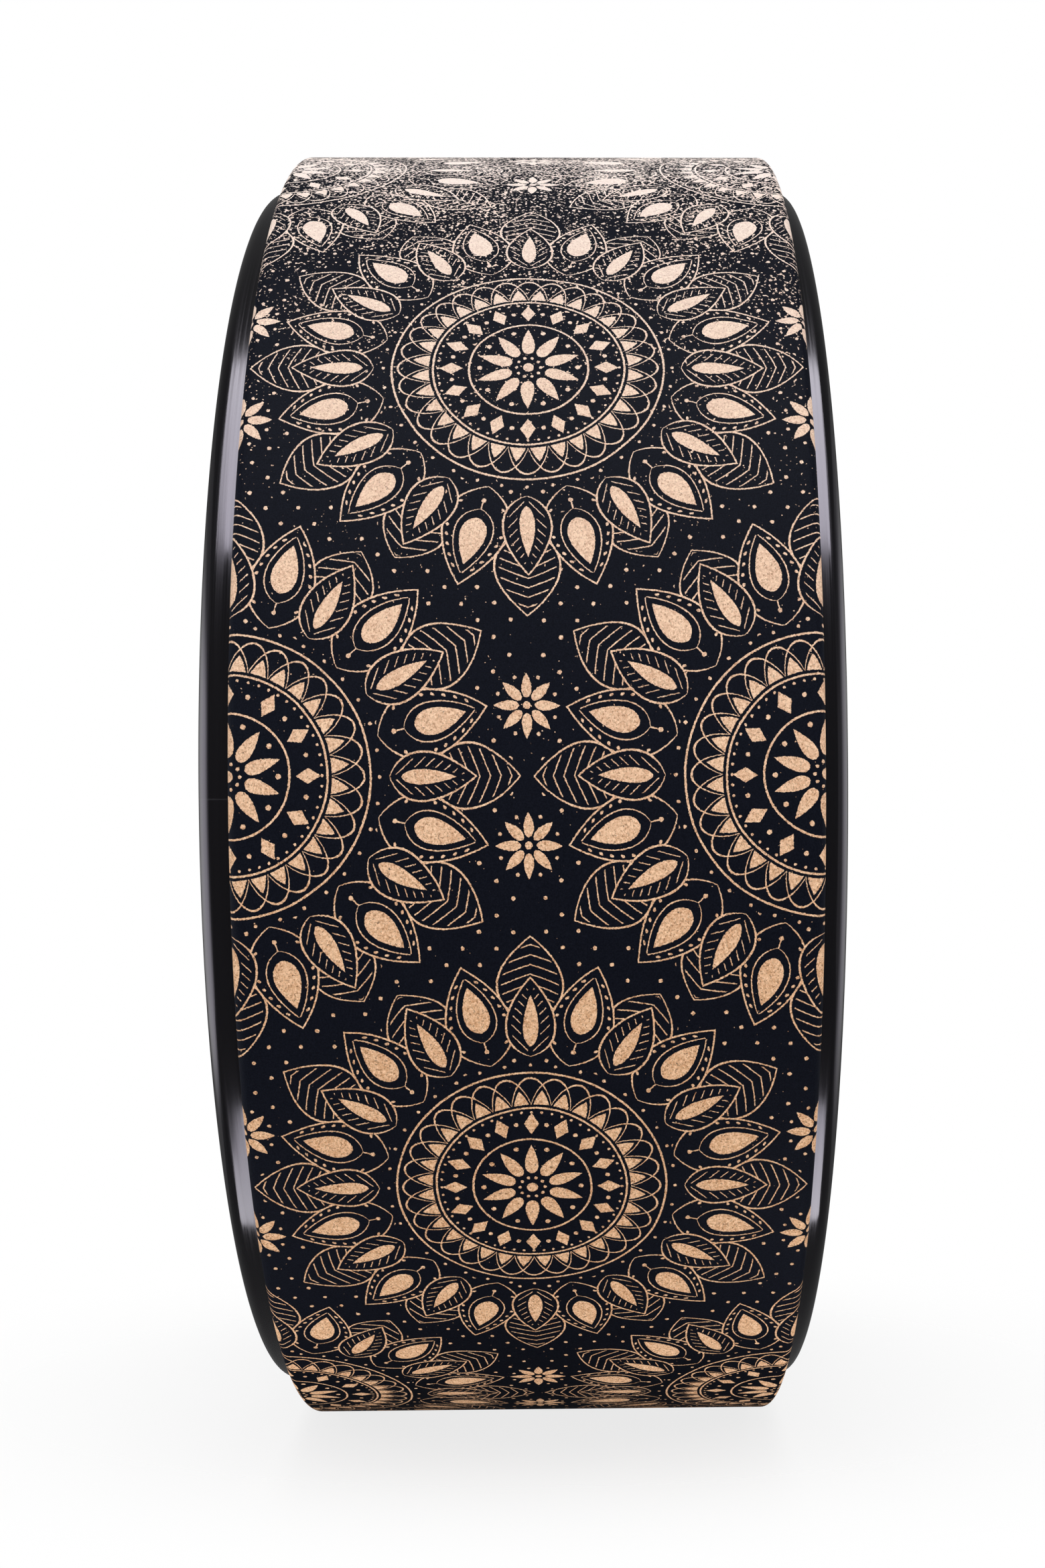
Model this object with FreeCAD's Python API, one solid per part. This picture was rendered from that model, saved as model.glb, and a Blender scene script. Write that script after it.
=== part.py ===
"""Cork-faced yoga wheel.

A turned plastic hoop carries a padded tread: a foam cushion band taped round the hoop, and a printed
cork sheet taped round the cushion. Every wrapped layer is one strip whose two ends meet in a butt seam,
and the seams are staggered round the wheel so that no two lie over each other.

Millimetres. The origin is the wheel's centre, the wheel's axis is +Y, and +Z is up.
"""
import FreeCAD, Part
import math
import os

# Overall sizes, and how far the tread, which is laid by hand, lies off the hoop's middle towards +Y
wheel_diameter = 330.0
hoop_width = 127.0
tread_width = 114.0
tread_offset = 0.9

# Hoop, cut from an extruded pipe and turned
hoop_wall = 9.0
rim_outer_round = 3.0
rim_inner_round = 3.0

# Tread layers, from the outside in
cork_thickness = 2.5
cork_edge_round = 2.0
cushion_thickness = 4.5
cushion_edge_round = 0.8
tape_thickness = 0.2
tape_inset = 1.5
layer_clearance = 0.2

# Butt seams of the wrapped layers, as the gap along the strip and the angle from +X towards +Z
cork_seam_gap = 0.4
cushion_seam_gap = 0.6
tape_seam_gap = 2.0
cork_seam_angle = 180.0
cushion_seam_angle = 145.0
outer_tape_seam_angle = 215.0
inner_tape_seam_angle = 110.0

# Radii of the stack, each from the layer outside it
cork_outer = wheel_diameter / 2
cork_inner = cork_outer - cork_thickness
outer_tape_outer = cork_inner - layer_clearance
outer_tape_inner = outer_tape_outer - tape_thickness
cushion_outer = outer_tape_inner - layer_clearance
cushion_inner = cushion_outer - cushion_thickness
inner_tape_outer = cushion_inner - layer_clearance
inner_tape_inner = inner_tape_outer - tape_thickness
hoop_outer = inner_tape_inner - layer_clearance
hoop_inner = hoop_outer - hoop_wall

# Both tapes stop short of the tread's edges
tape_width = tread_width - 2 * tape_inset

wheel_centre = FreeCAD.Vector(0, 0, 0)
wheel_axis = FreeCAD.Vector(0, 1, 0)


def section_point(radius, across):
    """A point of a cross-section, which is drawn in the X-Y plane."""
    return FreeCAD.Vector(radius, across, 0)


def rounded_section(inner, outer, middle, width, inner_round, outer_round):
    """A ring's cross-section: a rectangle from the inner to the outer radius, with its middle across given.

    The two inner corners and the two outer corners have their own rounding, and zero leaves a corner sharp.
    """
    left = middle - width / 2
    right = middle + width / 2
    corners = [
        (section_point(inner, left), inner_round),
        (section_point(outer, left), outer_round),
        (section_point(outer, right), outer_round),
        (section_point(inner, right), inner_round),
    ]
    edges = []
    arrivals = []
    departures = []
    arcs = []
    for i, (corner, radius) in enumerate(corners):
        before = (corners[i - 1][0] - corner).normalize()
        after = (corners[(i + 1) % len(corners)][0] - corner).normalize()
        arrival = corner + before * radius
        departure = corner + after * radius
        arrivals.append(arrival)
        departures.append(departure)
        if radius > 0:
            centre = corner + (before + after) * radius
            halfway = centre + (corner - centre).normalize() * radius
            arcs.append(Part.Arc(arrival, halfway, departure).toShape())
        else:
            arcs.append(None)
    for i, arc in enumerate(arcs):
        if arc is not None:
            edges.append(arc)
        edges.append(Part.LineSegment(departures[i], arrivals[(i + 1) % len(corners)]).toShape())
    return Part.Face(Part.Wire(edges))


def closed_ring(section):
    """A ring with no seam, turned through a full circle about the wheel's axis."""
    return section.revolve(wheel_centre, wheel_axis, 360)


def wrapped_strip(section, radius, seam_gap, seam_angle):
    """A strip bent round the wheel, whose ends stop either side of a butt seam.

    The gap is measured along the given radius, and the seam's middle stands at seam_angle.
    """
    gap_angle = math.degrees(seam_gap / radius)
    start = section.copy()
    start.rotate(wheel_centre, wheel_axis, -(seam_angle + gap_angle / 2))
    return start.revolve(wheel_centre, wheel_axis, -(360 - gap_angle))


def make_hoop():
    """The pipe section, with its rims turned round inside and out."""
    return closed_ring(
        rounded_section(hoop_inner, hoop_outer, 0, hoop_width, rim_inner_round, rim_outer_round)
    )


def make_inner_tape():
    """Double-coated tape between the hoop and the cushion, set back from the cushion's edges."""
    section = rounded_section(inner_tape_inner, inner_tape_outer, tread_offset, tape_width, 0, 0)
    return wrapped_strip(section, inner_tape_outer, tape_seam_gap, inner_tape_seam_angle)


def make_cushion():
    """The foam band that pads the tread."""
    section = rounded_section(
        cushion_inner, cushion_outer, tread_offset, tread_width, cushion_edge_round, 0
    )
    return wrapped_strip(section, cushion_outer, cushion_seam_gap, cushion_seam_angle)


def make_outer_tape():
    """Double-coated tape between the cushion and the cork, set back from the cork's edges."""
    section = rounded_section(outer_tape_inner, outer_tape_outer, tread_offset, tape_width, 0, 0)
    return wrapped_strip(section, outer_tape_outer, tape_seam_gap, outer_tape_seam_angle)


def make_cork_tread():
    """The cork sheet, with its outer edges eased by sanding."""
    section = rounded_section(cork_inner, cork_outer, tread_offset, tread_width, 0, cork_edge_round)
    return wrapped_strip(section, cork_outer, cork_seam_gap, cork_seam_angle)


pieces = {
    "hoop": make_hoop(),
    "inner_tape": make_inner_tape(),
    "cushion_band": make_cushion(),
    "outer_tape": make_outer_tape(),
    "cork_tread": make_cork_tread(),
}

os.makedirs("parts", exist_ok=True)
for name, shape in pieces.items():
    solid = shape.Solids[0]
    print(name, solid.isValid(), round(solid.Volume / 1000, 2), "cm3")
    solid.exportStep(os.path.join("parts", name + ".step"))
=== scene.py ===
"""Finishes of a cork-faced yoga wheel: a turned black hoop, a taped foam cushion and a printed cork tread."""
import math

import bpy
import numpy as np
from mathutils import Matrix, Vector


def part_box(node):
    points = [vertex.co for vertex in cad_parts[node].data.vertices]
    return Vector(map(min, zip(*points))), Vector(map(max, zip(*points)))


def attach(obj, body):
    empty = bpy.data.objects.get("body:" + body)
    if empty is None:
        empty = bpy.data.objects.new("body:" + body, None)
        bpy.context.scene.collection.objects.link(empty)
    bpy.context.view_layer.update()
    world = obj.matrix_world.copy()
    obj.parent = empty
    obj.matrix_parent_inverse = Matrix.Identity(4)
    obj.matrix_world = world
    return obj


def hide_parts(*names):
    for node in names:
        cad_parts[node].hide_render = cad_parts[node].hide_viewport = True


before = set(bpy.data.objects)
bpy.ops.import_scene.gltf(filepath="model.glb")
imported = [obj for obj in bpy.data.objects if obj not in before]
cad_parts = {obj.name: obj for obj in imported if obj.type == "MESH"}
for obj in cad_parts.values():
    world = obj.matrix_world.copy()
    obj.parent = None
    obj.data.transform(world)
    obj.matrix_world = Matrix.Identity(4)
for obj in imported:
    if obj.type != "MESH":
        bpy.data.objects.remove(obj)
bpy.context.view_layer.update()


# Hoop
# The wheel's body: a ring of black ABS 9 mm thick, cut from an extruded pipe and turned on a lathe, which
# rounds the rims and leaves fine rings on the bare shoulders beside the tread. All else is taped round it.
hoop_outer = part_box("hoop")[1][0]
hoop_half_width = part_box("hoop")[1][1]
hoop_wall = 0.009
rim_round = 0.003
hoop_sections = 720
half_covered_width = -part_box("cushion_band")[0][1]
same_radius = 1e-6


def rounded_section(inner, outer, half_width, inner_round, outer_round, flat_points):
    """Outline of a ring's cross-section as radii and places from its own middle, from the outer face round.

    Each corner is a quarter circle about a point one rounding in from both faces. Each flat between two
    corners is a straight run of evenly spaced points, with one more close to each end, so that the
    shading of the corner stays off the flat.
    """
    arc_points = 10
    close_to_end = 0.04
    corners = [
        (outer - outer_round, half_width - outer_round, outer_round, 0),
        (inner + inner_round, half_width - inner_round, inner_round, 1),
        (inner + inner_round, inner_round - half_width, inner_round, 2),
        (outer - outer_round, outer_round - half_width, outer_round, 3),
    ]
    arcs = []
    for radius, across, rounding, quarter in corners:
        turn = np.linspace(quarter, quarter + 1, arc_points) * math.pi / 2
        arcs.append(np.stack([radius + rounding * np.cos(turn), across + rounding * np.sin(turn)], 1))
    evenly = np.linspace(0, 1, flat_points + 2)[1:-1]
    along = np.concatenate([[close_to_end], evenly, [1 - close_to_end]])
    runs = []
    for arc, following in zip(arcs, arcs[1:] + arcs[:1]):
        start, end = arc[-1], following[0]
        runs += [arc, start + along[:, None] * (end - start)]
    half_face = len(runs[-1]) // 2
    outline = np.roll(np.concatenate(runs), half_face, axis=0)
    return outline[:, 0], outline[:, 1]


def carried_section(name, radius, across, turns, closed, covered):
    """A closed cross-section carried round the wheel's axis, as an object at the origin.

    The section's point stands at (radius cos turn, across, radius sin turn) at each turn. A closed band
    joins its last section to its first, and an open strip has its two end sections as faces. The map
    OFBake lays the band out in three rows, each a third of the way round, and squeezes the faces between
    covered points. A strip's two ends lie above the rows.
    """
    rows, ring = len(turns), len(radius)
    points = np.stack(
        [
            np.cos(turns)[:, None] * radius,
            np.broadcast_to(across, (rows, ring)),
            np.sin(turns)[:, None] * radius,
        ],
        -1,
    )

    spans = rows if closed else rows - 1
    row, column = np.meshgrid(np.arange(spans), np.arange(ring), indexing="ij")
    corner_row = np.stack([row, row, row + 1, row + 1], -1).reshape(-1, 4)
    corner_column = np.stack([column, column + 1, column + 1, column], -1).reshape(-1, 4)
    faces = (corner_row % rows * ring + corner_column % ring).tolist()
    if not closed:
        faces += [list(range(ring))[::-1], list(range((rows - 1) * ring, rows * ring))]
    mesh = bpy.data.meshes.new(name)
    mesh.from_pydata(points.reshape(-1, 3), [], faces)

    band_rows = 3
    band_rows_top = 0.97
    margin = 0.01
    squeezed = 0.08
    step = np.hypot(np.diff(radius, append=radius[:1]), np.diff(across, append=across[:1]))
    hidden = covered & np.roll(covered, -1)
    along = np.concatenate([[0], np.cumsum(step * np.where(hidden, squeezed, 1.0))])
    along /= along[-1]
    band = corner_row[:, :1] * band_rows // spans
    u = (corner_row * band_rows / spans - band) * (1 - 2 * margin) + margin
    v = (band + along[corner_column] * (1 - 2 * margin) + margin) * band_rows_top / band_rows
    layout = [np.stack([u, v], -1).reshape(-1, 2)]
    if not closed:
        end_left, end_foot = 0.02, 0.975
        end_width, end_height = 0.45, 0.02
        second_end = 0.5
        end_u = end_left + end_width * (across - across.min()) / np.ptp(across)
        end_v = end_foot + end_height * (radius - radius.min()) / np.ptp(radius)
        layout += [np.stack([end_u, end_v], 1)[::-1], np.stack([end_u + second_end, end_v], 1)]
    bake_map = mesh.uv_layers.new(name="OFBake")
    bake_map.uv.foreach_set("vector", np.concatenate(layout).astype(np.float32).ravel())

    sharp_edge = math.radians(50)
    mesh.shade_smooth()
    mesh.set_sharp_from_angle(angle=sharp_edge)
    mesh.update()
    band_object = bpy.data.objects.new(name, mesh)
    bpy.context.scene.collection.objects.link(band_object)
    return band_object


def linear(colour):
    """A linear colour with full alpha from an sRGB hex value, by the sRGB curve."""
    channels = [int(colour[i : i + 2], 16) / 255 for i in (1, 3, 5)]
    return [c / 12.92 if c <= 0.04045 else ((c + 0.055) / 1.055) ** 2.4 for c in channels] + [1.0]


def add_node(tree, kind, inputs=(), out=0, **settings):
    """Add one node, set its properties, feed its inputs and return one of its outputs, if it has any.

    Inputs go by their order, or by key in a dict. A socket is linked, None is left as it is, and any
    other value is set on the input itself.
    """
    made = tree.nodes.new("ShaderNode" + kind)
    for name, value in settings.items():
        setattr(made, name, value)
    for key, value in inputs.items() if isinstance(inputs, dict) else enumerate(inputs):
        if isinstance(value, bpy.types.NodeSocket):
            tree.links.new(value, made.inputs[key])
        elif value is not None:
            made.inputs[key].default_value = value
    return made.outputs[out] if made.outputs else None


def bare_material(name):
    """A new material with an empty node tree, and that tree."""
    material = bpy.data.materials.new(name)
    material.use_nodes = True
    material.node_tree.nodes.clear()
    return material, material.node_tree


def turned_abs():
    """Black ABS turned on a lathe and buffed: glossy, with tool rings that break up its highlights.

    The rings follow the outline, so they are noise that is fine in the distance across less the radius,
    which grows steadily from the tread over the rim, and long in the other directions. They are drawn
    coarser than a lathe's feed, so that they show. A faint mark crosses the left rim near the height of
    the axle. The inside is left as it came from the die, which is satin.
    """
    material, tree = bare_material("turned_black_abs")
    place = add_node(tree, "TexCoord", out="Object")
    place_mm = add_node(tree, "VectorMath", (place, None, None, 1000.0), operation="SCALE")
    x = add_node(tree, "SeparateXYZ", (place_mm,), out="X")
    y = add_node(tree, "SeparateXYZ", (place_mm,), out="Y")
    z = add_node(tree, "SeparateXYZ", (place_mm,), out="Z")
    radius = add_node(tree, "VectorMath", (place_mm, (1, 0, 1)), operation="MULTIPLY")
    radius = add_node(tree, "VectorMath", (radius,), out="Value", operation="LENGTH")
    across = add_node(tree, "Math", (y,), operation="ABSOLUTE")
    over_rim = add_node(tree, "Math", (across, radius), operation="SUBTRACT")

    ring_mm = 0.9
    fine_ring_mm = 0.28
    ring_length_mm = 70.0
    fine_share = 0.4
    slow_x = add_node(tree, "Math", (x, 1 / ring_length_mm), operation="MULTIPLY")
    slow_z = add_node(tree, "Math", (z, 1 / ring_length_mm), operation="MULTIPLY")
    wide = add_node(tree, "Math", (over_rim, 1 / ring_mm), operation="MULTIPLY")
    fine = add_node(tree, "Math", (over_rim, 1 / fine_ring_mm), operation="MULTIPLY")
    wide_place = add_node(tree, "CombineXYZ", (slow_x, wide, slow_z))
    fine_place = add_node(tree, "CombineXYZ", (slow_x, fine, slow_z))
    wide_rings = add_node(tree, "TexNoise", {"Vector": wide_place, "Scale": 1.0, "Detail": 2.0})
    fine_rings = add_node(tree, "TexNoise", {"Vector": fine_place, "Scale": 1.0, "Detail": 1.0})
    rings = add_node(tree, "Mix", (fine_share, None, wide_rings, fine_rings), data_type="FLOAT")

    turn = add_node(tree, "Math", (z, x), operation="ARCTAN2")
    mark_turn = math.radians(-1.53)
    mark_mm = 0.14
    mark_depth = 1.5
    left_rim_mm = -50.0
    from_mark = add_node(tree, "Math", (turn, mark_turn), operation="SUBTRACT")
    from_mark = add_node(tree, "Math", (from_mark, radius), operation="MULTIPLY")
    on_mark = add_node(tree, "Math", (from_mark, 0.0, mark_mm), operation="COMPARE")
    left_rim = add_node(tree, "Math", (y, left_rim_mm), operation="LESS_THAN")
    rim_mark = add_node(tree, "Math", (on_mark, left_rim), operation="MULTIPLY")

    black = linear("#0b0b0c")
    grey = linear("#202022")
    colour = add_node(tree, "Mix", {0: rim_mark, 6: black, 7: grey}, out=2, data_type="RGBA")
    buffed = add_node(tree, "MapRange", (rings, 0.35, 0.65, 0.09, 0.24))
    as_extruded = add_node(tree, "MapRange", (rings, 0.35, 0.65, 0.56, 0.68))
    inside_mm = (hoop_outer - hoop_wall) * 1000
    satin_mm = 0.3
    buffed_mm = 1.8
    turned = add_node(tree, "MapRange", (radius, inside_mm + satin_mm, inside_mm + buffed_mm, 0.0, 1.0))
    gloss = add_node(tree, "Mix", (turned, None, as_extruded, buffed), data_type="FLOAT")
    height = add_node(tree, "Math", (rim_mark, -mark_depth, rings), operation="MULTIPLY_ADD")
    relief = add_node(tree, "Bump", {"Strength": 0.28, "Distance": 0.00004, "Height": height})
    shader = add_node(
        tree,
        "BsdfPrincipled",
        {
            "Base Color": colour,
            "Roughness": gloss,
            "IOR": 1.56,
            "Specular Tint": linear("#e4deef"),
            "Normal": relief,
        },
    )
    add_node(tree, "OutputMaterial", (shader,))
    return material


hoop_radius, hoop_across = rounded_section(
    hoop_outer - hoop_wall, hoop_outer, hoop_half_width, rim_round, rim_round, flat_points=3
)
hoop_turns = np.arange(hoop_sections) * 2 * math.pi / hoop_sections
under_tread = (hoop_radius > hoop_outer - same_radius) & (np.abs(hoop_across) < half_covered_width)
hoop = carried_section(
    "turned_hoop", hoop_radius, hoop_across, hoop_turns, closed=True, covered=under_tread
)
hoop.data.materials.append(turned_abs())
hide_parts("hoop")
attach(hoop, "root")


# Tapes
# Two bands of double-coated film tape, one under the foam and one under the cork, wound once round with
# their ends short of each other. They are set back from the tread's edges, so only a hairline shows.


def film_tape():
    """Clear double-coated film tape: a milky film, faintly streaked along its length, with a soft gloss."""
    material, tree = bare_material("clear_film_tape")
    place = add_node(tree, "TexCoord", out="Object")
    streak_mm = 1.5
    streak_length_mm = 50.0
    per_metre = (1000 / streak_length_mm, 1000 / streak_mm, 1000 / streak_length_mm)
    streaks = add_node(tree, "VectorMath", (place, per_metre), operation="MULTIPLY")
    streaks = add_node(tree, "TexNoise", {"Vector": streaks, "Scale": 1.0, "Detail": 3.0})
    pale = linear("#cfc9bb")
    dull = linear("#b3ab9a")
    colour = add_node(tree, "Mix", {0: streaks, 6: pale, 7: dull}, out=2, data_type="RGBA")
    gloss = add_node(tree, "MapRange", (streaks, 0.3, 0.7, 0.35, 0.5))
    relief = add_node(tree, "Bump", {"Strength": 0.2, "Distance": 0.00005, "Height": streaks})
    shader = add_node(
        tree,
        "BsdfPrincipled",
        {"Base Color": colour, "Roughness": gloss, "IOR": 1.47, "Normal": relief},
    )
    add_node(tree, "OutputMaterial", (shader,))
    return material


tape_finish = film_tape()
for tape_name in ("inner_tape", "outer_tape"):
    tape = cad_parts[tape_name]
    tape.data.materials.clear()
    tape.data.materials.append(tape_finish)


# Cushion
# A band of black closed-cell foam 4.5 mm thick, knife-cut from sheet and taped round the hoop with its ends
# butted. Wound tight, it swells a little at its cut sides, which show as a matt band under the cork.
layer_clearance = 0.0002
cushion_thickness = 0.0045
cushion_inner_round = 0.0008
cushion_outer_round = 0.0004
cushion_swell = 0.0004
cushion_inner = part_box("inner_tape")[1][2] + layer_clearance
cushion_outer = cushion_inner + cushion_thickness
cushion_left, cushion_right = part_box("cushion_band")[0][1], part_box("cushion_band")[1][1]
cushion_middle = (cushion_left + cushion_right) / 2
cushion_half_width = (cushion_right - cushion_left) / 2
cushion_seam = math.radians(145)
cushion_seam_gap = 0.0006
cushion_sections = 721


def closed_cell_foam():
    """Black EVA foam with knife-cut sides: matt, with opened cells about half a millimetre wide."""
    material, tree = bare_material("black_closed_cell_foam")
    place = add_node(tree, "TexCoord", out="Object")
    cell_mm = 0.55
    mottle_mm = 6.0
    cells = add_node(
        tree, "TexVoronoi", {"Vector": place, "Scale": 1000 / cell_mm}, feature="SMOOTH_F1"
    )
    mottle = add_node(tree, "TexNoise", {"Vector": place, "Scale": 1000 / mottle_mm, "Detail": 3.0})
    # Painted shade: the hollows of the opened cells are coloured darker than their walls, deepest at each
    # cell's middle and varied by the mottle.
    walls = linear("#2b2b2d")
    shaded_hollows = linear("#101011")
    depth = add_node(tree, "MapRange", (cells, 0.1, 0.7, 1.0, 0.0))
    depth = add_node(tree, "Math", (depth, mottle), operation="MULTIPLY")
    colour = add_node(tree, "Mix", {0: depth, 6: walls, 7: shaded_hollows}, out=2, data_type="RGBA")
    gloss = add_node(tree, "MapRange", (mottle, 0.3, 0.7, 0.8, 0.95))
    relief = add_node(tree, "Bump", {"Strength": 0.6, "Distance": 0.0001, "Height": cells})
    shader = add_node(
        tree,
        "BsdfPrincipled",
        {"Base Color": colour, "Roughness": gloss, "IOR": 1.48, "Normal": relief},
    )
    add_node(tree, "OutputMaterial", (shader,))
    return material


cushion_radius, cushion_across = rounded_section(
    cushion_inner,
    cushion_outer,
    cushion_half_width,
    cushion_inner_round,
    cushion_outer_round,
    flat_points=4,
)
cushion_height = (cushion_radius - cushion_inner) / (cushion_outer - cushion_inner)
drawn_in = cushion_swell * (1 - 4 * cushion_height * (1 - cushion_height))
cushion_across = cushion_middle + cushion_across - np.sign(cushion_across) * drawn_in
cushion_gap_turn = cushion_seam_gap / cushion_outer
cushion_turns = cushion_seam + np.linspace(
    cushion_gap_turn / 2, 2 * math.pi - cushion_gap_turn / 2, cushion_sections
)
taped = cushion_radius < cushion_inner + same_radius
taped |= cushion_radius > cushion_outer - same_radius
cushion = carried_section(
    "foam_cushion", cushion_radius, cushion_across, cushion_turns, closed=False, covered=taped
)
cushion.data.materials.append(closed_cell_foam())
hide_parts("cushion_band")
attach(cushion, "root")


# Cork tread
# A sheet of agglomerated cork 2.5 mm thick, screen-printed in blue-black so that the bare cork draws the
# pattern, then wrapped over the foam with its ends butted at the back and its edges eased by sanding.
cork_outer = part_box("cork_tread")[1][2]
cork_left, cork_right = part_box("cork_tread")[0][1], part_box("cork_tread")[1][1]
cork_middle = (cork_left + cork_right) / 2
cork_half_width = (cork_right - cork_left) / 2
cork_thickness = 0.0025
cork_edge_round = 0.002
cork_inner_round = 0.0003
cork_seam = math.pi
cork_seam_gap = 0.0004
cork_sections = 721
rosettes_round_wheel = 6
first_rosette_turn = math.radians(30)
print_half_pitch = math.pi * cork_outer * 1000 / rosettes_round_wheel
print_half_width = cork_half_width * 1000
print_line = 0.40
print_thin_line = 0.25


def folded_place(tree, around, across):
    """Place from the nearest rosette's centre, folded into one quarter, and 1 if that rosette is on an edge.

    Rosettes stand on the tread's middle line, and halfway between them on both of its edges. Folding the
    distance along, and taking the distance across as positive, leaves one rosette at the origin and one
    at the far corner; the nearer one is then used, and the far one is turned round to the origin.
    """
    along = add_node(tree, "Math", (around, print_half_pitch), operation="PINGPONG")
    out = add_node(tree, "Math", (across,), operation="ABSOLUTE")
    nearer = add_node(tree, "Math", (along, print_half_pitch), operation="MULTIPLY")
    nearer = add_node(tree, "Math", (out, print_half_width, nearer), operation="MULTIPLY_ADD")
    halfway = (print_half_pitch**2 + print_half_width**2) / 2
    on_edge = add_node(tree, "Math", (nearer, halfway), operation="GREATER_THAN")
    along_back = add_node(tree, "Math", (print_half_pitch, along), operation="SUBTRACT")
    out_back = add_node(tree, "Math", (print_half_width, out), operation="SUBTRACT")
    x = add_node(tree, "Mix", (on_edge, None, along, along_back), data_type="FLOAT")
    y = add_node(tree, "Mix", (on_edge, None, out, out_back), data_type="FLOAT")
    return x, y, on_edge


def polar_place(tree, x, y):
    """Distance and direction of a place from the origin."""
    place = add_node(tree, "CombineXYZ", (x, y))
    radius = add_node(tree, "VectorMath", (place,), out="Value", operation="LENGTH")
    angle = add_node(tree, "Math", (y, x), operation="ARCTAN2")
    return radius, angle


def spoke_offset(tree, radius, angle, spokes, between=False):
    """Distance along the circle from the nearest spoke, or from the nearest midway line between spokes."""
    folded = add_node(tree, "Math", (angle, math.pi / spokes), operation="PINGPONG")
    if between:
        folded = add_node(tree, "Math", (math.pi / spokes, folded), operation="SUBTRACT")
    return add_node(tree, "Math", (folded, radius), operation="MULTIPLY")


def petal(tree, radius, offset, base, tip, half_width, fullness):
    """How far a place lies inside a petal's side, in millimetres.

    With q the share of the way from base to tip, raised to the fullness, the petal's half-width is
    4 q (1 - q) of its greatest, and the offset from the petal's own line is taken from it. A fullness
    under 1 puts the widest part nearer the base.
    """
    share = add_node(tree, "MapRange", (radius, base, tip, 0.0, 1.0))
    share = add_node(tree, "Math", (share, fullness), operation="POWER")
    square = add_node(tree, "Math", (share, share), operation="MULTIPLY")
    swell = add_node(tree, "Math", (share, square), operation="SUBTRACT")
    swell = add_node(tree, "Math", (swell, 4 * half_width), operation="MULTIPLY")
    return add_node(tree, "Math", (swell, offset), operation="SUBTRACT")


def dot_ring(tree, radius, offset, ring, size):
    """Round dots on a ring: the distance from the ring and the offset from the spoke, squared and added."""
    out = add_node(tree, "Math", (radius, ring), operation="SUBTRACT")
    out = add_node(tree, "Math", (out, out), operation="MULTIPLY")
    reach = add_node(tree, "Math", (offset, offset, out), operation="MULTIPLY_ADD")
    return add_node(tree, "Math", (reach, size**2), operation="LESS_THAN")


def over_all(tree, masks):
    """One mask that is 1 wherever any of these is."""
    joined = masks[0]
    for mask in masks[1:]:
        joined = add_node(tree, "Math", (joined, mask), operation="MAXIMUM")
    return joined


def daisy_eye(tree, radius, angle):
    """A daisy of ten rays round a dotted centre, with a dot beyond each gap, in a ring."""
    rays = 10
    pupil_radius = 1.1
    ring_radius = 12.0
    to_ray = spoke_offset(tree, radius, angle, rays)
    past_ray = spoke_offset(tree, radius, angle, rays, between=True)
    daisy = petal(tree, radius, to_ray, base=3.6, tip=10.6, half_width=1.35, fullness=0.62)
    daisy = add_node(tree, "Math", (daisy, 0.0), operation="GREATER_THAN")
    pupil = add_node(tree, "Math", (radius, pupil_radius), operation="LESS_THAN")
    stamens = dot_ring(tree, radius, past_ray, ring=2.5, size=0.34)
    ray_dots = dot_ring(tree, radius, past_ray, ring=9.9, size=0.5)
    ring = add_node(tree, "Math", (radius, ring_radius, print_line / 2), operation="COMPARE")
    return over_all(tree, [daisy, pupil, stamens, ray_dots, ring])


def rhomb_band(tree, radius, angle, on_edge):
    """A ring of rhombs and dots, 16 on the middle rosettes and 12 on the edge ones, beaded inside its line.

    A rhomb is where the distance from the ring, scaled, and the offset from the spoke add up to little.
    """
    middle_rhombs = 16
    edge_rhombs = 12
    rhomb_half_width = 1.5
    rhomb_half_length = 2.4
    band_radius = 15.6
    ring_radius = 19.2
    pitches = (math.pi / middle_rhombs, math.pi / edge_rhombs)
    pitch = add_node(tree, "Mix", (on_edge, None, *pitches), data_type="FLOAT")
    to_rhomb = add_node(tree, "Math", (angle, pitch), operation="PINGPONG")
    past_rhomb = add_node(tree, "Math", (pitch, to_rhomb), operation="SUBTRACT")
    to_rhomb = add_node(tree, "Math", (to_rhomb, radius), operation="MULTIPLY")
    past_rhomb = add_node(tree, "Math", (past_rhomb, radius), operation="MULTIPLY")
    from_ring = add_node(tree, "Math", (radius, band_radius), operation="SUBTRACT")
    from_ring = add_node(tree, "Math", (from_ring,), operation="ABSOLUTE")
    slope = rhomb_half_width / rhomb_half_length
    rhombs = add_node(tree, "Math", (from_ring, slope, to_rhomb), operation="MULTIPLY_ADD")
    rhombs = add_node(tree, "Math", (rhombs, rhomb_half_width), operation="LESS_THAN")
    dots = dot_ring(tree, radius, past_rhomb, ring=band_radius, size=0.45)
    beads = dot_ring(tree, radius, spoke_offset(tree, radius, angle, 56), ring=18.2, size=0.27)
    ring = add_node(tree, "Math", (radius, ring_radius, print_line / 2), operation="COMPARE")
    return over_all(tree, [rhombs, dots, beads, ring])


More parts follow.
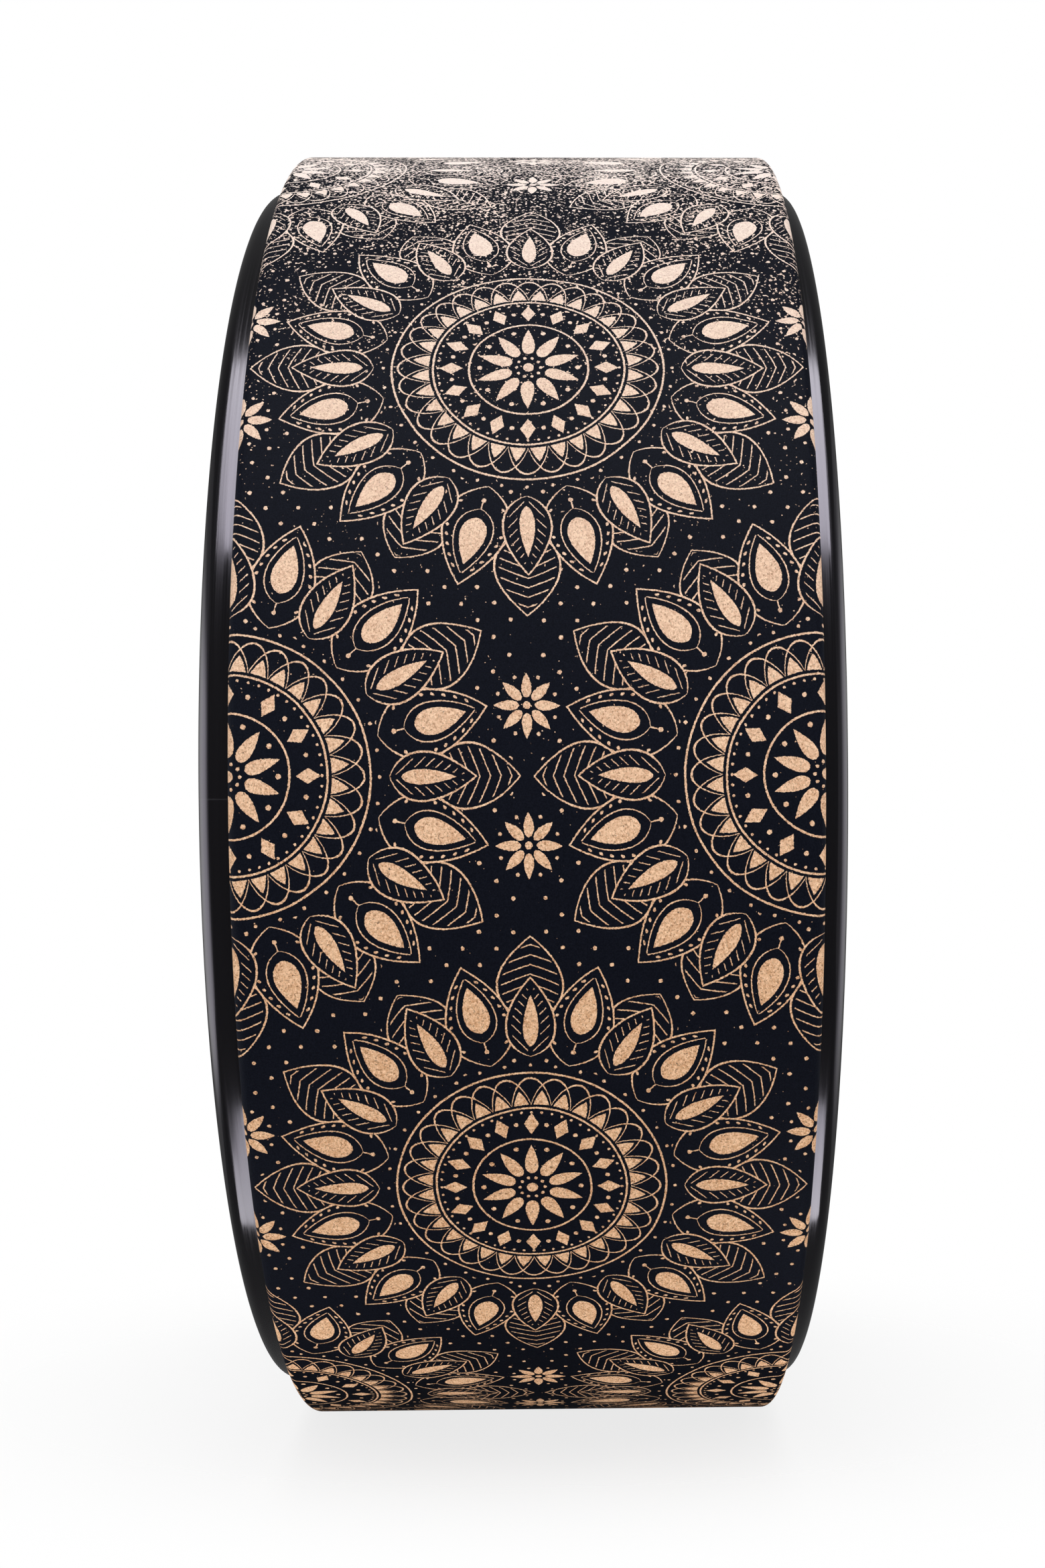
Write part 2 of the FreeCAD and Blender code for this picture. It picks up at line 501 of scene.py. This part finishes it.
def arcade_band(tree, radius, angle):
    """Two rows of arches that cross, a sine and a cosine of the angle, with a lancet under each crossing."""
    arches = 8
    foot = 20.0
    rise = 6.2
    roundness = 0.8
    lancet_inset = 1.5
    ring_radius = 27.2
    swing = add_node(tree, "Math", (angle, arches), operation="MULTIPLY")
    depths = []
    for wave in ("COSINE", "SINE"):
        height = add_node(tree, "Math", (swing,), operation=wave)
        height = add_node(tree, "Math", (height,), operation="ABSOLUTE")
        height = add_node(tree, "Math", (height, roundness), operation="POWER")
        height = add_node(tree, "Math", (height, rise, foot), operation="MULTIPLY_ADD")
        depths.append(add_node(tree, "Math", (height, radius), operation="SUBTRACT"))
    outlines = [
        add_node(tree, "Math", (depth, print_line / 2, print_line / 2), operation="COMPARE")
        for depth in depths
    ]
    under_both = add_node(tree, "Math", depths, operation="MINIMUM")
    lancets = add_node(tree, "Math", (under_both, lancet_inset), operation="GREATER_THAN")
    arcade = over_all(tree, outlines + [lancets])
    past_foot = add_node(tree, "Math", (radius, foot), operation="GREATER_THAN")
    arcade = add_node(tree, "Math", (arcade, past_foot), operation="MULTIPLY")
    ring = add_node(tree, "Math", (radius, ring_radius, print_line / 2), operation="COMPARE")
    beads = dot_ring(tree, radius, spoke_offset(tree, radius, angle, 36), ring=28.9, size=0.34)
    return over_all(tree, [arcade, ring, beads])


def veined_leaf(tree, radius, offset):
    """A leaf's depth and its drawing: an outline, a solid blade, and slanting veins between the two."""
    vein_slant = -1.1
    half_vein_step = 1.05
    edge_gap = 1.25
    blade_gap = 0.5
    leaf = petal(tree, radius, offset, base=30.8, tip=47.5, half_width=5.0, fullness=0.74)
    outline = add_node(tree, "Math", (leaf, print_line / 2, print_line / 2), operation="COMPARE")
    blade = petal(tree, radius, offset, base=33.0, tip=43.6, half_width=1.5, fullness=0.7)
    solid = add_node(tree, "Math", (blade, 0.0), operation="GREATER_THAN")
    slanted = add_node(tree, "Math", (offset, vein_slant, radius), operation="MULTIPLY_ADD")
    veins = add_node(tree, "Math", (slanted, half_vein_step), operation="PINGPONG")
    veins = add_node(tree, "Math", (veins, print_thin_line / 2), operation="LESS_THAN")
    off_edge = add_node(tree, "Math", (leaf, edge_gap), operation="GREATER_THAN")
    off_blade = add_node(tree, "Math", (blade, -blade_gap), operation="LESS_THAN")
    veins = add_node(tree, "Math", (veins, off_edge), operation="MULTIPLY")
    veins = add_node(tree, "Math", (veins, off_blade), operation="MULTIPLY")
    return leaf, over_all(tree, [outline, veins, solid])


def seeded_petal(tree, radius, offset):
    """A petal's depth and its drawing: an outline, a dotted hem, and a solid seed inside a thin line."""
    half_hem_step = 0.95
    hem_middle = 40.8
    half_hem = 7.8
    wide = petal(tree, radius, offset, base=29.6, tip=51.2, half_width=6.6, fullness=0.8)
    outline = add_node(tree, "Math", (wide, print_line / 2, print_line / 2), operation="COMPARE")
    seed = petal(tree, radius, offset, base=36.8, tip=46.8, half_width=2.5, fullness=0.68)
    seed = add_node(tree, "Math", (seed, 0.0), operation="GREATER_THAN")
    halo = petal(tree, radius, offset, base=34.8, tip=48.8, half_width=3.7, fullness=0.74)
    halo = add_node(tree, "Math", (halo, 0.0, print_thin_line / 2), operation="COMPARE")
    along_hem = add_node(tree, "Math", (radius, half_hem_step), operation="PINGPONG")
    hem = dot_ring(tree, wide, along_hem, ring=1.2, size=0.33)
    beside_seed = add_node(tree, "Math", (radius, hem_middle, half_hem), operation="COMPARE")
    hem = add_node(tree, "Math", (hem, beside_seed), operation="MULTIPLY")
    halo = add_node(tree, "Math", (halo, beside_seed), operation="MULTIPLY")
    base_dot = dot_ring(tree, radius, offset, ring=32.8, size=0.45)
    return wide, over_all(tree, [outline, seed, halo, hem, base_dot])


def ribbed_petal(tree, radius, angle, offset, petals):
    """A back petal's depth and its drawing: an outline filled with chevron ribs.

    It reaches almost to the line halfway to the next rosette, whose distance along the petal's own spoke
    is the least distance over the cosine of the angle between them, or to the tread's edge.
    """
    tip_gap = 1.2
    rib_slant = 0.35
    half_rib_step = 1.0
    edge_gap = 1.0
    least = math.hypot(print_half_pitch, print_half_width) / 2
    least_angle = math.atan2(print_half_width, print_half_pitch)
    spoke = add_node(tree, "Math", (angle, petals / (2 * math.pi)), operation="MULTIPLY")
    spoke = add_node(tree, "Math", (spoke,), operation="ROUND")
    spoke = add_node(tree, "Math", (spoke, 2 * math.pi / petals, -least_angle), operation="MULTIPLY_ADD")
    reach = add_node(tree, "Math", (spoke,), operation="COSINE")
    reach = add_node(tree, "Math", (least, reach), operation="DIVIDE")
    reach = add_node(tree, "Math", (reach, print_half_width), operation="MINIMUM")
    reach = add_node(tree, "Math", (reach, tip_gap), operation="SUBTRACT")
    ribbed = petal(tree, radius, offset, base=38.0, tip=reach, half_width=6.6, fullness=0.85)
    outline = add_node(tree, "Math", (ribbed, print_line / 2, print_line / 2), operation="COMPARE")
    slanted = add_node(tree, "Math", (offset, rib_slant, radius), operation="MULTIPLY_ADD")
    ribs = add_node(tree, "Math", (slanted, half_rib_step), operation="PINGPONG")
    ribs = add_node(tree, "Math", (ribs, print_thin_line / 2), operation="LESS_THAN")
    inside = add_node(tree, "Math", (ribbed, edge_gap), operation="GREATER_THAN")
    ribs = add_node(tree, "Math", (ribs, inside), operation="MULTIPLY")
    return ribbed, over_all(tree, [outline, ribs])


def small_flower(tree, x, y):
    """A flower of eight rays with dots between them, in the room between rosettes, and the way from it."""
    rays = 8
    pupil_radius = 0.75
    flower_place = 13.4
    along = add_node(tree, "Math", (x, flower_place), operation="SUBTRACT")
    out = add_node(tree, "Math", (print_half_width, y), operation="SUBTRACT")
    radius, angle = polar_place(tree, along, out)
    to_ray = spoke_offset(tree, radius, angle, rays)
    past_ray = spoke_offset(tree, radius, angle, rays, between=True)
    flower = petal(tree, radius, to_ray, base=1.5, tip=6.4, half_width=1.0, fullness=0.75)
    flower = add_node(tree, "Math", (flower, 0.0), operation="GREATER_THAN")
    pupil = add_node(tree, "Math", (radius, pupil_radius), operation="LESS_THAN")
    dots = dot_ring(tree, radius, past_ray, ring=5.9, size=0.36)
    return over_all(tree, [flower, pupil, dots]), radius


def ground_dots(tree, x, y):
    """Dots on a staggered lattice, whose columns and rows divide the rosettes' pitch, so that none is cut."""
    columns, rows = 26, 18
    dot_radius = 0.4
    column_step = print_half_pitch / columns
    row_step = print_half_width / rows
    column = add_node(tree, "Math", (x, column_step), operation="PINGPONG")
    row = add_node(tree, "Math", (y, row_step), operation="PINGPONG")
    place = add_node(tree, "CombineXYZ", (column, row))
    to_corner = add_node(tree, "VectorMath", (place,), out="Value", operation="LENGTH")
    corner = (column_step, row_step, 0)
    to_other = add_node(tree, "VectorMath", (place, corner), out="Value", operation="DISTANCE")
    nearest = add_node(tree, "Math", (to_corner, to_other), operation="MINIMUM")
    return add_node(tree, "Math", (nearest, dot_radius), operation="LESS_THAN")


def leaf_rosette_print(tree, around, across):
    """The pattern that the ink leaves bare: rosettes of leaves round a daisy, a ring of rhombs and an arcade.

    Round these rings lie three layers of twelve petals: veined leaves in front, seeded petals between
    them, and ribbed ones behind. Small flowers and dots fill the ground. All sizes are in millimetres.
    """
    petals = 12
    petal_gap = 1.2
    flower_room = 7.6
    rings_end = 29.5
    x, y, on_edge = folded_place(tree, around, across)
    radius, angle = polar_place(tree, x, y)
    rings = [
        daisy_eye(tree, radius, angle),
        rhomb_band(tree, radius, angle, on_edge),
        arcade_band(tree, radius, angle),
    ]
    to_petal = spoke_offset(tree, radius, angle, petals)
    past_petal = spoke_offset(tree, radius, angle, petals, between=True)
    layers = [
        ribbed_petal(tree, radius, angle, to_petal, petals),
        seeded_petal(tree, radius, past_petal),
        veined_leaf(tree, radius, to_petal),
    ]
    nearest_petal = add_node(tree, "Math", (layers[0][0], layers[1][0]), operation="MAXIMUM")
    nearest_petal = add_node(tree, "Math", (nearest_petal, layers[2][0]), operation="MAXIMUM")
    off_petals = add_node(tree, "Math", (nearest_petal, -petal_gap), operation="LESS_THAN")
    flower, from_flower = small_flower(tree, x, y)
    off_flower = add_node(tree, "Math", (from_flower, flower_room), operation="GREATER_THAN")
    dots = add_node(tree, "Math", (ground_dots(tree, x, y), off_petals), operation="MULTIPLY")
    dots = add_node(tree, "Math", (dots, off_flower), operation="MULTIPLY")
    wreath = over_all(tree, [dots, flower])
    for depth, drawing in layers:
        covered = add_node(tree, "Math", (depth, 0.0), operation="GREATER_THAN")
        wreath = add_node(tree, "Mix", (covered, None, wreath, drawing), data_type="FLOAT")
    past_rings = add_node(tree, "Math", (radius, rings_end), operation="GREATER_THAN")
    wreath = add_node(tree, "Math", (wreath, past_rings), operation="MULTIPLY")
    return over_all(tree, rings + [wreath])


def printed_cork():
    """Agglomerated cork, sanded and screen-printed: pale granules with brown specks under a matt ink film.

    The ink's edges are ragged where it met the granules, and it fills pores in the bare lines. One stretch
    of the sheet is scuffed: there the cork is rubbed flat, with fewer specks and pores, and the tops of the
    granules show through the ink in patches. Over that stretch, round the top of the wheel, the bare cork
    is also painted paler and pinker: a painted sheen for the light from above glancing off it. The sanded
    edges are bare.
    """
    material, tree = bare_material("printed_agglomerated_cork")
    place = add_node(tree, "TexCoord", out="Object")
    place_mm = add_node(tree, "VectorMath", (place, None, None, 1000.0), operation="SCALE")

    grain_mm = 0.30
    granule_mm = 0.42
    crumble_mm = 0.28
    crumble_reach_mm = 0.7
    fleck_mm = 0.36
    pore_mm = 0.45
    cloud_mm = 14.0
    noise_middle = (0.5, 0.5, 0.5)
    grain = add_node(tree, "TexNoise", {"Vector": place_mm, "Scale": 1 / grain_mm, "Detail": 3.0})
    crumble = add_node(tree, "TexNoise", {"Vector": place_mm, "Scale": 1 / crumble_mm}, out="Color")
    crumble = add_node(tree, "VectorMath", (crumble, noise_middle), operation="SUBTRACT")
    crumble = add_node(tree, "VectorMath", (crumble, None, None, crumble_reach_mm), operation="SCALE")
    crumbled = add_node(tree, "VectorMath", (place_mm, crumble), operation="ADD")
    granules = add_node(tree, "TexVoronoi", {"Vector": crumbled, "Scale": 1 / granule_mm}, out="Color")
    granule_tone = add_node(tree, "SeparateColor", (granules,), out="Red")
    flecks = add_node(tree, "TexNoise", {"Vector": crumbled, "Scale": 1 / fleck_mm, "Detail": 1.0})
    flecks = add_node(tree, "MapRange", (flecks, 0.54, 0.70, 0.0, 0.85))
    pores = add_node(tree, "TexNoise", {"Vector": crumbled, "Scale": 1 / pore_mm, "Detail": 1.0})
    pores = add_node(tree, "MapRange", (pores, 0.31, 0.25, 0.0, 0.9))
    clouds = add_node(tree, "TexNoise", {"Vector": place_mm, "Scale": 1 / cloud_mm, "Detail": 2.0})

    tone = add_node(tree, "Math", (grain, 2.0, granule_tone), operation="MULTIPLY_ADD")
    tone = add_node(tree, "Math", (clouds, 0.4, tone), operation="MULTIPLY_ADD")
    tone = add_node(tree, "MapRange", (tone, 0.9, 2.5, 0.0, 1.0))
    pale_cork = linear("#ffd9b3")
    tan_cork = linear("#cd9569")
    brown_fleck = linear("#8a5a37")
    cork = add_node(tree, "Mix", {0: tone, 6: pale_cork, 7: tan_cork}, out=2, data_type="RGBA")

    wobble_mm = 16.0
    wobble_reach_mm = 1.0
    ragged_mm = 0.30
    ragged_reach_mm = 0.40
    wobble = add_node(
        tree, "TexNoise", {"Vector": place_mm, "Scale": 1 / wobble_mm, "Detail": 1.0}, out="Color"
    )
    ragged = add_node(
        tree, "TexNoise", {"Vector": place_mm, "Scale": 1 / ragged_mm, "Detail": 2.0}, out="Color"
    )
    wobble = add_node(tree, "VectorMath", (wobble, noise_middle), operation="SUBTRACT")
    ragged = add_node(tree, "VectorMath", (ragged, noise_middle), operation="SUBTRACT")
    wobble = add_node(tree, "VectorMath", (wobble, None, None, wobble_reach_mm), operation="SCALE")
    ragged = add_node(tree, "VectorMath", (ragged, None, None, ragged_reach_mm), operation="SCALE")
    drawn = add_node(tree, "VectorMath", (place_mm, wobble), operation="ADD")
    drawn = add_node(tree, "VectorMath", (drawn, ragged), operation="ADD")
    x = add_node(tree, "SeparateXYZ", (drawn,), out="X")
    y = add_node(tree, "SeparateXYZ", (drawn,), out="Y")
    z = add_node(tree, "SeparateXYZ", (drawn,), out="Z")
    turn = add_node(tree, "Math", (z, x), operation="ARCTAN2")
    from_rosette = add_node(tree, "Math", (turn, first_rosette_turn), operation="SUBTRACT")
    around = add_node(tree, "Math", (from_rosette, cork_outer * 1000), operation="MULTIPLY")
    across = add_node(tree, "Math", (y, cork_middle * 1000), operation="SUBTRACT")
    left_bare = leaf_rosette_print(tree, around, across)

    # This stretch round the top of the wheel is where the ink is worn through and the cork rubbed flat. The
    # same mask also sets the painted sheen below, which pales the bare cork there as the light from above
    # would.
    scuff_and_sheen_turn = math.radians(75)
    scuff_and_sheen_reach = math.radians(95)
    scuff_and_sheen_core = math.radians(15)
    speck_mm = 0.66
    wear_steepness = 2.0
    worn_least, worn_most = 0.22, 0.46
    patchiness = 0.06
    from_scuff_and_sheen = add_node(tree, "Math", (turn, scuff_and_sheen_turn), operation="SUBTRACT")
    from_scuff_and_sheen = add_node(tree, "Math", (from_scuff_and_sheen,), operation="ABSOLUTE")
    scuff_and_sheen = add_node(tree, "MapRange", (from_scuff_and_sheen, scuff_and_sheen_reach, scuff_and_sheen_core, 0.0, 1.0))
    worn_through = add_node(tree, "Math", (scuff_and_sheen, wear_steepness), operation="POWER")
    worn_through = add_node(tree, "MapRange", (worn_through, 0.0, 1.0, worn_least, worn_most))
    patchy = add_node(tree, "MapRange", (clouds, 0.3, 0.7, -patchiness, patchiness))
    worn_through = add_node(tree, "Math", (patchy, scuff_and_sheen, worn_through), operation="MULTIPLY_ADD")
    speck = add_node(tree, "TexNoise", {"Vector": place_mm, "Scale": 1 / speck_mm, "Detail": 1.5})
    speck = add_node(tree, "Math", (worn_through, speck), operation="SUBTRACT")
    speck = add_node(tree, "MapRange", (speck, -0.010, 0.018, 0.0, 1.0))
    left_bare = over_all(tree, [left_bare, speck])

    true_radius = add_node(tree, "VectorMath", (drawn, (1, 0, 1)), operation="MULTIPLY")
    true_radius = add_node(tree, "VectorMath", (true_radius,), out="Value", operation="LENGTH")
    inked_depth_mm = 2.05
    inked_radius = cork_outer * 1000 - inked_depth_mm
    sanded = add_node(tree, "Math", (true_radius, inked_radius), operation="LESS_THAN")
    left_bare = over_all(tree, [left_bare, sanded])
    rubbed_share = 0.3
    rubbed_flat = add_node(tree, "MapRange", (scuff_and_sheen, 0.0, 1.0, 1.0, rubbed_share))
    flecks = add_node(tree, "Math", (flecks, rubbed_flat), operation="MULTIPLY")
    pores = add_node(tree, "Math", (pores, rubbed_flat), operation="MULTIPLY")
    left_bare = add_node(tree, "Math", (left_bare, pores), operation="SUBTRACT", use_clamp=True)

    ink_dark = linear("#0a0d16")
    ink_thin = linear("#131620")
    film = add_node(tree, "MapRange", (grain, 0.35, 0.7, 0.0, 1.0))
    ink = add_node(tree, "Mix", {0: film, 6: ink_dark, 7: ink_thin}, out=2, data_type="RGBA")
    # Painted sheen: over the scuffed stretch the bare cork is mixed towards a pale pinkish white, which
    # stands in for the light of the softboxes above glancing off it.
    pale_painted_sheen = linear("#fff8f4")
    dull_painted_sheen = linear("#f3e7e3")
    painted_sheen_cork = add_node(tree, "Mix", {0: tone, 6: pale_painted_sheen, 7: dull_painted_sheen}, out=2, data_type="RGBA")
    painted_sheen_steepness = 1.55
    painted_sheen_most = 0.85
    painted_sheen_share = add_node(tree, "Math", (scuff_and_sheen, painted_sheen_steepness), operation="POWER")
    painted_sheen_share = add_node(tree, "Math", (painted_sheen_share, painted_sheen_most), operation="MULTIPLY")
    cork = add_node(tree, "Mix", {0: painted_sheen_share, 6: cork, 7: painted_sheen_cork}, out=2, data_type="RGBA")
    cork = add_node(tree, "Mix", {0: flecks, 6: cork, 7: brown_fleck}, out=2, data_type="RGBA")
    colour = add_node(tree, "Mix", {0: left_bare, 6: ink, 7: cork}, out=2, data_type="RGBA")
    roughness = add_node(tree, "MapRange", (left_bare, 0.0, 1.0, 0.65, 0.85))
    height = add_node(tree, "Math", (grain, 1.2, granule_tone), operation="MULTIPLY_ADD")
    relief = add_node(tree, "Bump", {"Strength": 0.4, "Distance": 0.00008, "Height": height})
    shader = add_node(
        tree,
        "BsdfPrincipled",
        {
            "Base Color": colour,
            "Roughness": roughness,
            "IOR": 1.45,
            "Specular IOR Level": 0.03,
            "Normal": relief,
        },
    )
    add_node(tree, "OutputMaterial", (shader,))
    return material


cork_inner = cork_outer - cork_thickness
cork_radius, cork_across = rounded_section(
    cork_inner, cork_outer, cork_half_width, cork_inner_round, cork_edge_round, flat_points=21
)
cork_gap_turn = cork_seam_gap / cork_outer
cork_turns = cork_seam + np.linspace(cork_gap_turn / 2, 2 * math.pi - cork_gap_turn / 2, cork_sections)
on_cushion = cork_radius < cork_inner + same_radius
cork_across = cork_middle + cork_across
cork = carried_section(
    "printed_cork_tread", cork_radius, cork_across, cork_turns, closed=False, covered=on_cushion
)
cork.data.materials.append(printed_cork())
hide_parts("cork_tread")
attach(cork, "root")


# Floor and light
# A plain white table that the wheel stands on and that fades out into the white surroundings. Softboxes over
# the front and the rear, and two weaker fills, light the matt surfaces. The gloss of the hoop shows a white
# wall behind, a dim room, and the lights and boards that are set out for its rims alone.
table_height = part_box("cork_tread")[0][2]
table_radius = 0.9
table_spokes = 96
table_steps = 24
ring_bunching = 1.5
table_rings = np.linspace(0, 1, table_steps) ** ring_bunching * table_radius
table_turns = np.arange(table_spokes) * 2 * math.pi / table_spokes
table_points = np.stack(
    [
        np.cos(table_turns)[:, None] * table_rings,
        np.sin(table_turns)[:, None] * table_rings,
        np.full((table_spokes, table_steps), table_height),
    ],
    -1,
)
spoke, step = np.meshgrid(np.arange(table_spokes), np.arange(table_steps - 1), indexing="ij")
here = spoke * table_steps + step
beside = (spoke + 1) % table_spokes * table_steps + step
table_faces = np.stack([here, here + 1, beside + 1, beside], -1)
table_mesh = bpy.data.meshes.new("white_table")
table_mesh.from_pydata(table_points.reshape(-1, 3), [], table_faces.reshape(-1, 4).tolist())
table = bpy.data.objects.new("white_table", table_mesh)
bpy.context.scene.collection.objects.link(table)
table_material, table_tree = bare_material("white_table")
fade_start, fade_end = 0.045, 0.14
fade_shape = (1, 0.55, 0)
table_glow = 0.8
table_place = add_node(table_tree, "TexCoord", out="Object")
from_wheel = add_node(table_tree, "VectorMath", (table_place, fade_shape), operation="MULTIPLY")
from_wheel = add_node(table_tree, "VectorMath", (from_wheel,), out="Value", operation="LENGTH")
faded = add_node(
    table_tree, "MapRange", (from_wheel, fade_start, fade_end), interpolation_type="SMOOTHSTEP"
)
table_seen = add_node(table_tree, "LightPath", out="Is Camera Ray")
table_mirrored = add_node(table_tree, "LightPath", out="Is Glossy Ray")
faded = add_node(table_tree, "Math", (faded, table_seen), operation="MULTIPLY")
faded = add_node(table_tree, "Math", (faded, table_mirrored), operation="MAXIMUM")
painted = add_node(table_tree, "BsdfDiffuse", {"Color": linear("#f2f2f2")})
bright = add_node(table_tree, "Emission", {"Color": linear("#ffffff"), "Strength": 1.0})
glow_share = add_node(table_tree, "Math", (table_seen, table_glow), operation="MULTIPLY")
painted = add_node(table_tree, "MixShader", (glow_share, painted, bright))
clear = add_node(table_tree, "BsdfTransparent")
table_shader = add_node(table_tree, "MixShader", (faded, painted, clear))
add_node(table_tree, "OutputMaterial", (table_shader,))
table_mesh.materials.append(table_material)

world = bpy.data.worlds.new("white_studio")
bpy.context.scene.world = world
world.use_nodes = True
sky = world.node_tree
sky.nodes.clear()
wall_edge, wall_full = -0.93, -0.995
dim_room = 0.13
facing = add_node(sky, "TexCoord", out="Generated")
facing_x = add_node(sky, "SeparateXYZ", (facing,), out="X")
wall = add_node(
    sky,
    "MapRange",
    (facing_x, wall_edge, wall_full, dim_room, 1.0),
    interpolation_type="SMOOTHSTEP",
)
backdrop = add_node(sky, "Background", {"Color": linear("#ffffff"), "Strength": 1.0})
mirrored = add_node(sky, "Background", {"Color": linear("#ffffff"), "Strength": wall})
room = add_node(sky, "Background", {"Color": linear("#ffffff"), "Strength": 0.5})
seen = add_node(sky, "LightPath", out="Is Camera Ray")
seen_through = add_node(sky, "LightPath", out="Is Transmission Ray")
seen = add_node(sky, "Math", (seen, seen_through), operation="MAXIMUM")
in_gloss = add_node(sky, "LightPath", out="Is Glossy Ray")
studio = add_node(sky, "MixShader", (in_gloss, room, mirrored))
studio = add_node(sky, "MixShader", (seen, studio, backdrop))
add_node(sky, "OutputWorld", (studio,))


def softbox(name, centre, turn, size, radiance, gloss_only=False):
    """A soft rectangular lamp at a place, facing down and then turned about X and Y, of a given radiance.

    A flat lamp gives pi times its area times its radiance, which sets its power. It lights the matt
    surfaces and stays out of the gloss, or else it shows in the gloss alone.
    """
    lamp = bpy.data.lights.new(name, "AREA")
    lamp.shape = "RECTANGLE"
    lamp.size, lamp.size_y = size
    lamp.energy = math.pi * size[0] * size[1] * radiance
    holder = bpy.data.objects.new(name, lamp)
    holder.location = centre
    holder.rotation_euler = (*turn, 0)
    holder.visible_camera = False
    holder.visible_diffuse = not gloss_only
    holder.visible_glossy = gloss_only
    bpy.context.scene.collection.objects.link(holder)
    return holder


over_front = (0, math.radians(33))
over_rear = (0, -math.radians(43))
from_front = (0, math.pi / 2)
facing_up = (0, math.pi)
fill_height = table_height + 0.001
rim_light_height = table_height + 0.010
softbox("key_softbox", (0.685, 0, 0.90), over_front, (0.72, 0.8), 3.0)
softbox("rear_softbox", (-0.75, 0, 0.80), over_rear, (0.7, 0.8), 4.3)
softbox("front_fill", (0.95, 0, 0.0), from_front, (0.8, 0.8), 0.63)
softbox("low_fill", (0.12, 0, fill_height), facing_up, (0.1, 0.4), 0.41)
softbox("upper_rim_light", (0.597, 0.05, 0.922), over_front, (0.75, 0.76), 10.5, gloss_only=True)
for light_name, light_across, radiance in (("left", -0.071, 6.9), ("right", 0.071, 8.5)):
    softbox(
        "low_rim_light_" + light_name,
        (0.1625, light_across, rim_light_height),
        facing_up,
        (0.065, 0.020),
        radiance,
        gloss_only=True,
    )


def graded_board(name, side, radiance, rear, front, top, foot):
    """A tall board beside the wheel, seen in the gloss of the rims alone, whose light dies away at its edges.

    Each edge is where its light starts to go, where it has gone, and the share that is left. The distance
    to the rear and front edges is along X and to the top is the height, and the foot slants down forwards.
    """
    slant = 0.42
    centre = (0.25, side * 0.6, -0.03)
    facing_wheel = (-side * math.pi / 2, 0)
    size = (1.5, 0.95)
    board = softbox(name, centre, facing_wheel, size, radiance, gloss_only=True)
    board.data.use_nodes = True
    tree = board.data.node_tree
    tree.nodes.clear()
    place = add_node(tree, "NewGeometry", out="Position")
    along = add_node(tree, "SeparateXYZ", (place,), out="X")
    height = add_node(tree, "SeparateXYZ", (place,), out="Z")
    slanted = add_node(tree, "Math", (along, slant, height), operation="MULTIPLY_ADD")
    strength = 1.0
    for way, (start, end, left_over) in zip((along, along, height, slanted), (rear, front, top, foot)):
        edge = add_node(
            tree, "MapRange", (way, start, end, 1.0, left_over), interpolation_type="SMOOTHSTEP"
        )
        strength = add_node(tree, "Math", (strength, edge), operation="MULTIPLY")
    glow = add_node(tree, "Emission", {"Strength": strength})
    add_node(tree, "OutputLight", (glow,))


graded_board(
    "left_board",
    side=-1,
    radiance=4.0,
    rear=(0.30, -0.35, 0.15),
    front=(0.40, 0.85, 0.06),
    top=(0.095, 0.28, 0.06),
    foot=(-0.26, -0.42, 0.12),
)
graded_board(
    "right_board",
    side=1,
    radiance=2.4,
    rear=(0.10, -0.40, 0.30),
    front=(0.15, 0.47, 0.13),
    top=(0.10, 0.36, 0.15),
    foot=(-0.12, -0.50, 0.08),
)


# Camera
# It stands 0.35 m from the tread, a little below the axle, and looks almost straight along -X. Its shift
# frames the wheel as the photograph does.
camera_place = (0.51847, 0.00950, -0.00699)
camera_yaw = 0.0171
camera_pitch = -0.0050
camera_roll = -0.0051
camera_data = bpy.data.cameras.new("camera")
camera_data.sensor_width = 36.0
camera_data.sensor_fit = "AUTO"
camera_data.lens = 42.77
camera_data.shift_x = -0.0526
camera_data.shift_y = 0.0238
camera_data.clip_start = 0.01
camera = bpy.data.objects.new("camera", camera_data)
bpy.context.scene.collection.objects.link(camera)
forward = Vector(
    (
        -math.cos(camera_yaw) * math.cos(camera_pitch),
        math.sin(camera_yaw) * math.cos(camera_pitch),
        math.sin(camera_pitch),
    )
)
level_right = forward.cross(Vector((0, 0, 1))).normalized()
level_up = level_right.cross(forward)
right = math.cos(camera_roll) * level_right + math.sin(camera_roll) * level_up
up = right.cross(forward)
camera_turn = Matrix((right, up, -forward)).transposed().to_4x4()
camera.matrix_world = Matrix.Translation(camera_place) @ camera_turn
bpy.context.scene.camera = camera
bpy.context.scene.view_settings.view_transform = "Standard"
